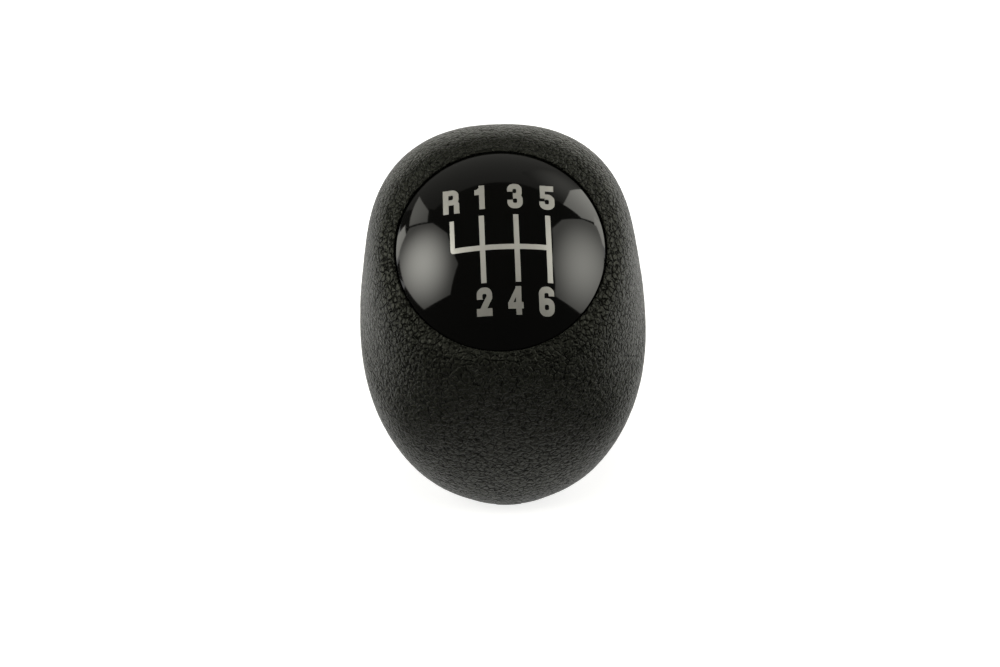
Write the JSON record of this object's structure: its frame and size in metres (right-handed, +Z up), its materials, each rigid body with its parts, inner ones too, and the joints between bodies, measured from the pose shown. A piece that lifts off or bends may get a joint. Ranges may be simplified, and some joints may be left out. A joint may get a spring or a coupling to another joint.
{
  "type": "gear shift knob",
  "caption": "Push-on gear shift knob: egg-shaped soft-skinned grip with a glossy domed cap that shows a manual shift pattern.",
  "frame": {"origin": "centre of the lever bore's mouth, on the foot plane that the knob stands on", "axes": "+Z up along the lever bore, -Y towards the driver, who sees the cap, +X to the right as the driver sees it"},
  "size_m": [0.057, 0.0563, 0.0728],
  "materials": {
    "grip_skin": "grained, matt",
    "core_plastic": "moulded, matt",
    "steel": "turned",
    "spring_wire": "drawn wire",
    "buffer_rubber": "matt",
    "neck_plastic": "moulded, matt",
    "cap_gloss": "high gloss",
    "pattern_silver": "satin silver",
    "pad_foam": "closed-cell foam"
  },
  "bodies": {
    "root": {"grip_cover": "grip_skin", "core_lower": "core_plastic", "core_upper": "core_plastic", "lever_sleeve": "steel", "retaining_clip": "spring_wire", "lever_buffer": "buffer_rubber", "neck_ring": "neck_plastic", "cap_dome": "cap_gloss", "shift_pattern": "pattern_silver", "cap_pad": "pad_foam"}
  },
  "joints": []
}
